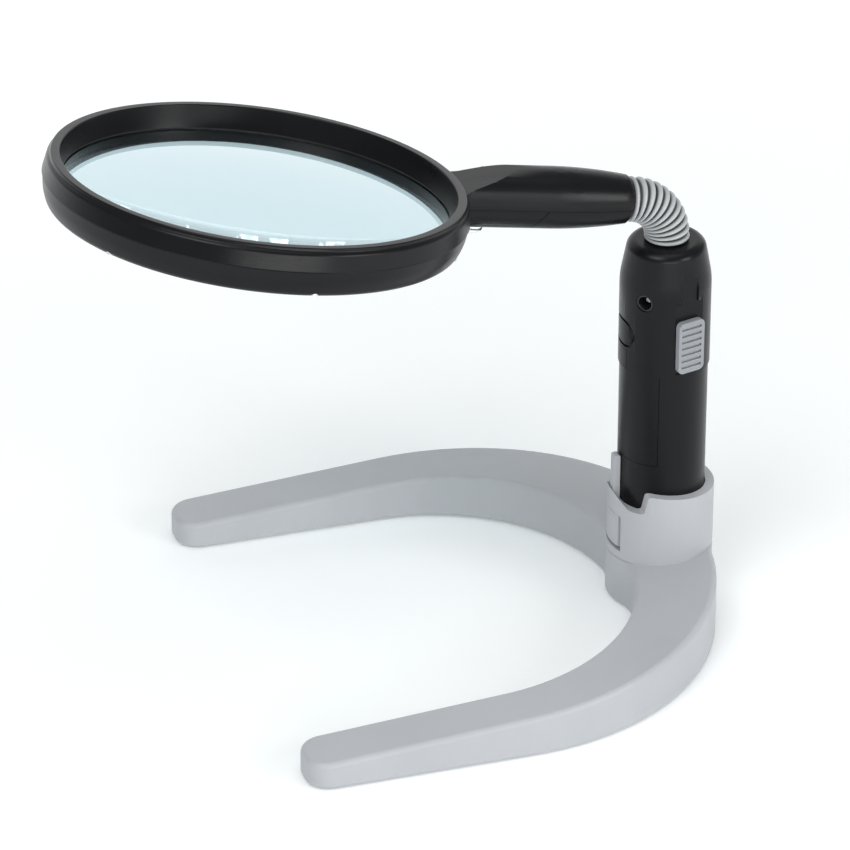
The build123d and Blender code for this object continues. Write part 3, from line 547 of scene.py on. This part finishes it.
class MagnifierStage(bpy.types.PropertyGroup):
    """Camera and light."""

    camera_place: bpy.props.FloatVectorProperty(
        name="Camera place",
        description="Where the camera stands",
        default=(1.76627, -0.64036, 1.14067),
        subtype="XYZ",
        unit="LENGTH",
    )
    azimuth: bpy.props.FloatProperty(
        name="Azimuth",
        description="Turn of the camera about the upright axis",
        default=radians(72.61),
        subtype="ANGLE",
        unit="ROTATION",
    )
    elevation: bpy.props.FloatProperty(
        name="Elevation",
        description="How far the camera looks down",
        default=radians(29.79),
        subtype="ANGLE",
        unit="ROTATION",
    )
    roll: bpy.props.FloatProperty(
        name="Roll",
        description="Turn of the picture about its centre",
        default=radians(0.20),
        subtype="ANGLE",
        unit="ROTATION",
    )
    lens: bpy.props.FloatProperty(
        name="Lens",
        description="Focal length of the camera, in millimetres of a 36 mm picture",
        default=260.8,
        min=1.0,
    )


# ------------------------------------------------------------------ operators


class BuildBase(bpy.types.Operator):
    """Dress the horseshoe base, its cover, feet, screws and ballast"""

    bl_idname = "magnifier.build_base"
    bl_label = "Base"

    def execute(self, context):
        dress("base_shell", "base")
        dress("base_cover", "base")
        dress("base_feet", "base", 0.3 * MM)
        carry("base_screws", "ballast_plates")
        return {"FINISHED"}


class BuildSocket(bpy.types.Operator):
    """Dress the socket and its latch tongue"""

    bl_idname = "magnifier.build_socket"
    bl_label = "Socket"

    def execute(self, context):
        dress("socket", "base")
        dress("latch_tongue", "latch")
        return {"FINISHED"}


class BuildHandle(bpy.types.Operator):
    """Dress the handle, its battery door, batteries, switch, board and power inlet"""

    bl_idname = "magnifier.build_handle"
    bl_label = "Handle"

    def execute(self, context):
        dress("grip_tube", "handle")
        dress("battery_door", "door")
        dress("upper_housing", "handle")
        dress("switch_slider", "switch", 0.2 * MM)
        dress("battery_cells", "handle")
        dress("battery_carrier", "handle")
        dress("inlet_socket", "handle")
        carry(
            "contact_plates",
            "contact_springs",
            "switch_body",
            "circuit_board",
            "board_parts",
            "inlet_pin",
            "handle_nut",
        )
        return {"FINISHED"}


class BuildNeck(bpy.types.Operator):
    """Build the neck's corrugated sleeve, one piece across each of its four hinges"""

    bl_idname = "magnifier.build_neck"
    bl_label = "Neck"

    def execute(self, context):
        build_sleeve(context.scene.magnifier_neck)
        carry(
            "neck_core_base",
            "neck_core_turn_1",
            "neck_core_turn_2",
            "neck_core_turn_3",
            "neck_core_end",
        )
        return {"FINISHED"}


class BuildHead(bpy.types.Operator):
    """Dress the arm, the ring frame, the lens and the reading lamp"""

    bl_idname = "magnifier.build_head"
    bl_label = "Arm and lens"

    def execute(self, context):
        size = context.scene.magnifier_ring
        build_frame("upper_frame", upper_section(size), size)
        build_frame("lower_frame", lower_section(size), size)
        dress("arm_cover", "head")
        build_turned("lens", lens_section(size), size)
        dress("lens_gasket", "head")
        dress("lamp_lens", "head")
        carry("frame_screws", "arm_nut", "lamp_board", "lamp_leds")
        return {"FINISHED"}


# ------------------------------------------------------------------ turned pieces of the head


EDGE_SHARE = 0.998        # of the farthest vertex's reach; only the lens's flat edge is beyond


def ring_place():
    """Centre of the lens and its upright axis, from the vertices of its flat edge."""
    mesh = frame["nodes"]["lens"].data
    points = np.empty(len(mesh.vertices) * 3)
    mesh.vertices.foreach_get("co", points)
    points = np.unique(points.reshape(-1, 3).round(6), axis=0)
    middle = (points.min(axis=0) + points.max(axis=0)) / 2
    reach = np.linalg.norm(points - middle, axis=1)
    edge = points[reach > reach.max() * EDGE_SHARE]
    directions = np.linalg.eigh(np.cov((edge - edge.mean(axis=0)).T))[1]
    axis = Vector(directions[:, 0])
    return Vector(edge.mean(axis=0)), axis if axis.z > 0 else -axis


LENS_CENTRE, LENS_AXIS = ring_place()
LENS_TURN = LENS_AXIS.to_track_quat("Z", "Y").to_matrix().to_4x4()


def turned_mesh(name, section, steps):
    """Turn (radius, height) points about the lens's axis: a ring, or a disc if they start at 0."""
    verts, faces, starts = [], [], []
    for radius, height in section:
        starts.append(len(verts))
        if radius == 0:
            verts.append((0.0, 0.0, height))
            continue
        for index in range(steps):
            a = 2 * pi * index / steps
            verts.append((radius * cos(a), radius * sin(a), height))
    pairs = list(zip(range(len(section)), range(1, len(section))))
    if section[0][0] > 0:
        pairs.append((len(section) - 1, 0))
    for one, other in pairs:
        for index in range(steps):
            after = (index + 1) % steps
            a, b = starts[one] + index, starts[one] + after
            c, d = starts[other] + after, starts[other] + index
            if section[one][0] == 0:
                faces.append((starts[one], c, d))
            elif section[other][0] == 0:
                faces.append((a, b, starts[other]))
            else:
                faces.append((a, b, c, d))
    mesh = bpy.data.meshes.new(name)
    mesh.from_pydata(verts, [], faces)
    mesh.transform(Matrix.Translation(LENS_CENTRE) @ LENS_TURN)
    return edited(mesh, face_outwards)


def edited(mesh, *edits):
    """The same mesh after edits that each take its bmesh."""
    bm = bmesh.new()
    bm.from_mesh(mesh)
    for edit in edits:
        edit(bm)
    bm.to_mesh(mesh)
    bm.free()
    return mesh


def face_outwards(bm):
    """Turn all faces of a closed mesh to its outside."""
    bmesh.ops.recalc_face_normals(bm, faces=bm.faces)


CORNER_SHARE = 0.45        # of a section's side that one rounded corner may take up


def rounded(points, radius, steps=4):
    """A section's corners replaced by short arcs; points may carry their own radius."""
    out = []
    count = len(points)
    for index, point in enumerate(points):
        size = point[2] if len(point) > 2 else radius
        here = Vector(point[:2])
        before = Vector(points[index - 1][:2]) - here
        after = Vector(points[(index + 1) % count][:2]) - here
        if size <= 0:
            out.append(tuple(here))
            continue
        reach = min(size, before.length * CORNER_SHARE, after.length * CORNER_SHARE)
        start, end = here + before.normalized() * reach, here + after.normalized() * reach
        for step in range(steps + 1):
            t = step / steps
            out.append(tuple(start * (1 - t) ** 2 + here * 2 * t * (1 - t) + end * t**2))
    return out


def upper_section(size):
    """Upper frame's section round the lens, heights from the lens's middle plane."""
    rim, lens = size.rim_height, size.lens_radius
    seam = rim - size.seam_depth
    return rounded(
        [
            (lens - 1.8 * MM, seam, 0.0),
            (lens, rim),
            (lens + 3.1 * MM, rim),
            (lens + 3.3 * MM, rim - 1.2 * MM, 0.25 * MM),
            (lens + 4.2 * MM, rim - 2.1 * MM, 0.5 * MM),
            (lens + 5.2 * MM, seam, 0.25 * MM),
        ],
        0.45 * MM,
    )


LENS_SEAT = -0.9 * MM         # height of the seat below the lens's middle plane
SEAT_WIDTH = 1.4 * MM         # how far the seat reaches under the lens


def lower_section(size):
    """Lower frame's section, with the seat that holds the lens."""
    rim, lens = size.rim_height, size.lens_radius
    seam, foot = rim - size.seam_depth - 0.1 * MM, rim - size.depth
    return rounded(
        [
            (lens + 0.15 * MM, seam, 0.1 * MM),
            (lens + 4.9 * MM, seam, 0.25 * MM),
            (lens + 4.3 * MM, foot + 4.5 * MM, 2.0 * MM),
            (lens + 3.1 * MM, foot + 1.2 * MM, 0.8 * MM),
            (lens + 1.9 * MM, foot, 0.8 * MM),
            (lens - SEAT_WIDTH, foot, 0.3 * MM),
            (lens - SEAT_WIDTH, LENS_SEAT, 0.0),
            (lens + 0.15 * MM, LENS_SEAT, 0.0),
        ],
        0.3 * MM,
    )


def lens_section(size):
    """Both curved faces of the lens and its flat edge."""
    steps = 40
    edge, curve = -LENS_SEAT, size.lens_curve
    reach = size.lens_radius - SEAT_WIDTH
    sag = sqrt(curve**2 - reach**2)
    radii = [reach * step / steps for step in range(steps + 1)]
    upper = [(radius, edge + sqrt(curve**2 - radius**2) - sag) for radius in radii]
    upper.append((size.lens_radius, edge))
    return upper + [(radius, -height) for radius, height in reversed(upper)]


def build_turned(node, section, size):
    """Finely turned stand-in for one CAD node of the head."""
    obj = link(node + "_turned", turned_mesh(node + "_turned", section, size.steps))
    return settle(obj, NODE_SLOT[node], "head", [node])


def from_lens_axis(point):
    """Distance of a point from the lens's axis."""
    offset = point - LENS_CENTRE
    return (offset - LENS_AXIS * offset.dot(LENS_AXIS)).length


RING_WIDTH = 5.22 * MM        # of the ring outside the lens, a hair more than its sections


def build_frame(node, section, size):
    """A half of the ring frame: a finely turned ring, and the arm taken from the CAD shell."""
    outside = size.lens_radius + RING_WIDTH

    def drop_ring(bm):
        ring = [face for face in bm.faces if all(from_lens_axis(v.co) < outside for v in face.verts)]
        bmesh.ops.delete(bm, geom=ring, context="FACES")

    arm = link(node + "_arm", edited(merged_copy(node), drop_ring))
    ring = link(node + "_ring", turned_mesh(node + "_ring", section, size.steps))
    settle(arm, NODE_SLOT[node], "head")
    settle(ring, NODE_SLOT[node], "head", [node])


# ------------------------------------------------------------------ neck sleeve

SLEEVE_FOOT = 1.3 * MM        # of the sleeve inside the handle, before the bend
SLEEVE_LEAD = 1.5 * MM        # of the sleeve inside the arm, after the bend
SLEEVE_SIDES = 72
SLEEVE_STEP = 0.42            # degrees of the bend between two rings of vertices
GROOVE_SHARPNESS = 1.6
PLEAT_ANGLE = 60.0            # degrees between faces up to which the pleats are smooth
WELD_SLEEVE = 0.001 * MM


def sleeve_tree():
    """Geometry Nodes: a pleated tube round an arc, with straight ends."""
    tree = bpy.data.node_groups.new("pleated_sleeve", "GeometryNodeTree")
    face = tree.interface
    face.new_socket("Geometry", in_out="INPUT", socket_type="NodeSocketGeometry")
    for name in ("Radius", "Groove Depth", "Wall", "Ridge Pitch", "Length Before"):
        face.new_socket(name, in_out="INPUT", socket_type="NodeSocketFloat")
    face.new_socket("Material", in_out="INPUT", socket_type="NodeSocketMaterial")
    face.new_socket("Geometry", in_out="OUTPUT", socket_type="NodeSocketGeometry")
    add = tree.nodes.new
    wire = tree.links.new

    def result(operation, *inputs):
        made = add("ShaderNodeMath")
        made.operation = operation
        for index, item in enumerate(inputs):
            if isinstance(item, (int, float)):
                made.inputs[index].default_value = item
            else:
                wire(item, made.inputs[index])
        return made.outputs[0]

    source = add("NodeGroupInput").outputs
    parameter = add("GeometryNodeSplineParameter").outputs["Length"]
    along = result("ADD", parameter, source["Length Before"])
    turns = result("DIVIDE", along, source["Ridge Pitch"])
    wave = result("COSINE", result("MULTIPLY", turns, 2 * pi))
    half = result("MULTIPLY_ADD", wave, -0.5, 0.5)
    groove = result("POWER", half, GROOVE_SHARPNESS)
    cut = result("MULTIPLY", groove, source["Groove Depth"])
    radius = result("SUBTRACT", source["Radius"], cut)

    ring = add("GeometryNodeCurvePrimitiveCircle")
    ring.inputs["Resolution"].default_value = SLEEVE_SIDES
    ring.inputs["Radius"].default_value = 1.0
    shells = []
    for size in (radius, result("SUBTRACT", radius, source["Wall"])):
        sweep = add("GeometryNodeCurveToMesh")
        wire(source["Geometry"], sweep.inputs["Curve"])
        wire(size, sweep.inputs["Scale"])
        wire(ring.outputs["Curve"], sweep.inputs["Profile Curve"])
        shells.append(sweep.outputs["Mesh"])
    flip = add("GeometryNodeFlipFaces")
    wire(shells[1], flip.inputs["Mesh"])
    join = add("GeometryNodeJoinGeometry")
    wire(flip.outputs["Mesh"], join.inputs[0])
    wire(shells[0], join.inputs[0])
    real = add("GeometryNodeRealizeInstances")
    wire(join.outputs[0], real.inputs[0])
    painted = add("GeometryNodeSetMaterial")
    wire(real.outputs[0], painted.inputs["Geometry"])
    wire(source["Material"], painted.inputs["Material"])
    wire(painted.outputs["Geometry"], add("NodeGroupOutput").inputs[0])
    return tree


def bridge_open_ends(bm):
    """Close the annular ends between an outer and an inner tube."""
    loops = [edge for edge in bm.edges if edge.is_boundary]
    ends = []
    while loops:
        chain = {loops.pop()}
        grown = True
        while grown:
            near = {v for e in chain for v in e.verts}
            more = [e for e in loops if near & set(e.verts)]
            grown = bool(more)
            chain |= set(more)
            loops = [e for e in loops if e not in chain]
        ends.append(chain)
    middles = [sum((v.co for e in c for v in e.verts), Vector()) / (2 * len(c)) for c in ends]
    while ends:
        chain, middle = ends.pop(), middles.pop()
        partner = min(range(len(ends)), key=lambda i: (middles[i] - middle).length)
        bmesh.ops.bridge_loops(bm, edges=list(chain | ends.pop(partner)))
        middles.pop(partner)


def mark_grooves(mesh, size):
    """Vertex attribute: 0 on the ridges, 1 at the bottom of the grooves and inside."""
    depth = mesh.attributes.new("groove", "FLOAT", "POINT")
    for vertex, item in zip(mesh.vertices, depth.data):
        centre, along = neck_point(neck_angle(vertex.co))
        reach = (vertex.co - centre - along * (vertex.co - centre).dot(along)).length
        item.value = min(max((size.radius - reach) / size.depth, 0.0), 1.0)


def weld_rings(bm):
    """Join the rows of vertices that lie on each other."""
    bmesh.ops.remove_doubles(bm, verts=bm.verts, dist=WELD_SLEEVE)


def sleeve_line(number, low, high):
    """Centre line of one length of sleeve, between two angles of the bend."""
    curve = bpy.data.curves.new("neck_line", "CURVE")
    curve.dimensions = "3D"
    curve.twist_mode = "Z_UP"
    count = int((high - low) / SLEEVE_STEP)
    spline = curve.splines.new("POLY")
    spline.points.add(count)
    for index, point in enumerate(spline.points):
        place, _ = neck_point(low + (high - low) * index / count)
        point.co = (*place, 1.0)
    return link(f"neck_sleeve_line_{number}", curve)


def pleated_mesh(line, tree, settings):
    """Closed mesh of the sleeve along a centre line, which is then removed."""
    modifier = line.modifiers.new("sleeve", "NODES")
    modifier.node_group = tree
    for item in tree.interface.items_tree:
        if item.name in settings:
            modifier[item.identifier] = settings[item.name]
    graph = bpy.context.evaluated_depsgraph_get()
    mesh = bpy.data.meshes.new_from_object(line.evaluated_get(graph))
    bpy.data.objects.remove(line)
    return edited(mesh, weld_rings, bridge_open_ends, face_outwards)


def build_sleeve(size):
    """Four lengths of sleeve, each from the middle of one neck link to the middle of the next."""
    tree = sleeve_tree()
    foot_angle = -degrees(SLEEVE_FOOT / NECK_RADIUS)
    lead_angle = NECK_END_ANGLE + degrees(SLEEVE_LEAD / NECK_RADIUS)
    pitch = NECK_RADIUS * radians(lead_angle - foot_angle) / size.ridges
    for number, hinge in enumerate(HINGES, start=1):
        last = hinge == HINGES[-1]
        middle = neck_angle(joint_place(hinge))
        low = foot_angle if number == 1 else middle - NECK_STEP / 2
        high = lead_angle if last else middle + NECK_STEP / 2
        settings = {
            "Radius": size.radius,
            "Groove Depth": size.depth,
            "Wall": size.wall,
            "Ridge Pitch": pitch,
            "Length Before": NECK_RADIUS * radians(low - foot_angle) + pitch / 2,
            "Material": finish_of("sleeve_grey"),
        }
        mesh = pleated_mesh(sleeve_line(number, low, high), tree, settings)
        mark_grooves(mesh, size)
        piece = link(f"neck_sleeve_pleats_{number}", mesh)
        nodes = [f"neck_sleeve_{number}"]
        if last:
            nodes.append(f"neck_sleeve_{number + 1}")
        settle(piece, "sleeve_grey", None, nodes, PLEAT_ANGLE)
        near, along = neck_point(middle)
        reach = along * (NECK_RADIUS - size.radius) * sin(radians(NECK_STEP / 2))
        near - reach
        near + reach
        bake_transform(piece)


# ------------------------------------------------------------------ stage

# name, place, target, width and height in metres, power in watts
LIGHTS = (
    ("key", (0.55, -0.75, 1.25), (0.0, -0.08, 0.09), (0.7, 0.7), 8.0),
    ("side", (0.95, 0.75, 0.55), (0.0, -0.02, 0.1), (0.5, 0.5), 5.5),
    ("back wall", (-1.7, 0.15, 0.72), (0.0, -0.1, 0.1), (3.4, 1.4), 11.5),
    ("top", (0.1, 0.1, 1.5), (0.0, -0.05, 0.1), (0.9, 0.9), 3.0),
    ("strip", (1.25, -0.15, 0.3), (0.0, -0.06, 0.15), (1.1, 0.16), 5.0),
)
FLOOR_REACH = 6.0
GLOW_START, GLOW_END = 0.2, 1.1        # metres from the object over which the floor's glow grows


class BuildStage(bpy.types.Operator):
    """Pale floor, soft studio light and the camera"""

    bl_idname = "magnifier.build_stage"
    bl_label = "Stage"

    def execute(self, context):
        scene = context.scene
        view = scene.magnifier_stage
        scene.view_settings.view_transform = "Standard"
        place_camera(scene, view)
        build_floor()
        sky = bpy.data.worlds.new("studio")
        sky.use_nodes = True
        background = sky.node_tree.nodes["Background"]
        background.inputs["Color"].default_value = (0.97, 0.99, 1.0, 1.0)
        background.inputs["Strength"].default_value = 0.4
        scene.world = sky
        for light in LIGHTS:
            area_light(*light)
        return {"FINISHED"}


def place_camera(scene, view):
    """Camera at a place, turned by azimuth, elevation and roll."""
    az, el, roll = view.azimuth, view.elevation, view.roll
    back = Vector((sin(az) * cos(el), -cos(az) * cos(el), sin(el)))
    right = Vector((cos(az), sin(az), 0.0))
    up = back.cross(right)
    turned_right = right * cos(roll) + up * sin(roll)
    turned_up = up * cos(roll) - right * sin(roll)
    data = bpy.data.cameras.new("camera")
    data.sensor_width = 36.0
    data.lens = view.lens
    data.clip_end = 20.0
    turn = Matrix((turned_right, turned_up, back)).transposed()
    camera = link("camera", data)
    camera.matrix_world = Matrix.Translation(Vector(view.camera_place)) @ turn.to_4x4()
    scene.camera = camera


def area_light(name, place, target, size, power):
    """Soft rectangular light that looks at a target."""
    data = bpy.data.lights.new(name, "AREA")
    data.shape = "RECTANGLE"
    data.size, data.size_y = size
    data.energy = power
    lamp = link(name, data)
    lamp.location = place
    lamp.rotation_euler = (Vector(place) - Vector(target)).to_track_quat("Z", "Y").to_euler()


def build_floor():
    """Wide pale floor just under the feet, with a soft glow that grows away from the object."""
    half = FLOOR_REACH
    mesh = bpy.data.meshes.new("floor")
    corners = [(-half, -half, 0.0), (half, -half, 0.0), (half, half, 0.0), (-half, half, 0.0)]
    mesh.from_pydata(corners, [], [(0, 1, 2, 3)])
    floor = link("floor", mesh)
    paint = Paint("floor_paper")
    reach = paint.node("ShaderNodeVectorMath", {"operation": "LENGTH"}, [paint.place], "Value")
    tone = paint.noise(3.0, 2.0)
    glow = reach.ramp(GLOW_START, GLOW_END)
    mesh.materials.append(
        paint.apply(
            Base_Color=paint.mix(tone, (0.86, 0.885, 0.89, 1.0), (0.88, 0.895, 0.9, 1.0)),
            Roughness=0.9,
            Specular_IOR_Level=0.1,
            Emission_Color=paint.mix(glow, (0.16, 0.165, 0.165, 1.0), (0.78, 0.78, 0.78, 1.0)),
            Emission_Strength=1.0,
        )
    )


# ------------------------------------------------------------------ panel and run

OPERATORS = (BuildBase, BuildSocket, BuildHandle, BuildNeck, BuildHead, BuildStage)
GROUPS = (MagnifierFinish, MagnifierNeck, MagnifierRing, MagnifierStage)


class MagnifierPanel(bpy.types.Panel):
    """Lists the magnifier's builders in the sidebar"""

    bl_idname = "VIEW3D_PT_magnifier"
    bl_label = "Stand magnifier"
    bl_space_type = "VIEW_3D"
    bl_region_type = "UI"
    bl_category = "Magnifier"

    def draw(self, context):
        for operator in OPERATORS:
            self.layout.operator(operator.bl_idname)


def register():
    for group in (*GROUPS, *OPERATORS, MagnifierPanel):
        bpy.utils.register_class(group)
    bpy.types.Scene.magnifier_finish = bpy.props.PointerProperty(type=MagnifierFinish)
    bpy.types.Scene.magnifier_neck = bpy.props.PointerProperty(type=MagnifierNeck)
    bpy.types.Scene.magnifier_ring = bpy.props.PointerProperty(type=MagnifierRing)
    bpy.types.Scene.magnifier_stage = bpy.props.PointerProperty(type=MagnifierStage)


def unregister():
    del bpy.types.Scene.magnifier_stage
    del bpy.types.Scene.magnifier_ring
    del bpy.types.Scene.magnifier_neck
    del bpy.types.Scene.magnifier_finish
    for group in reversed((*GROUPS, *OPERATORS, MagnifierPanel)):
        bpy.utils.unregister_class(group)


def main():
    """Build every group of pieces in order."""
    register()
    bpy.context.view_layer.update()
    for operator in OPERATORS:
        group, name = operator.bl_idname.split(".")
        getattr(getattr(bpy.ops, group), name)()


if __name__ == "__main__":
    main()
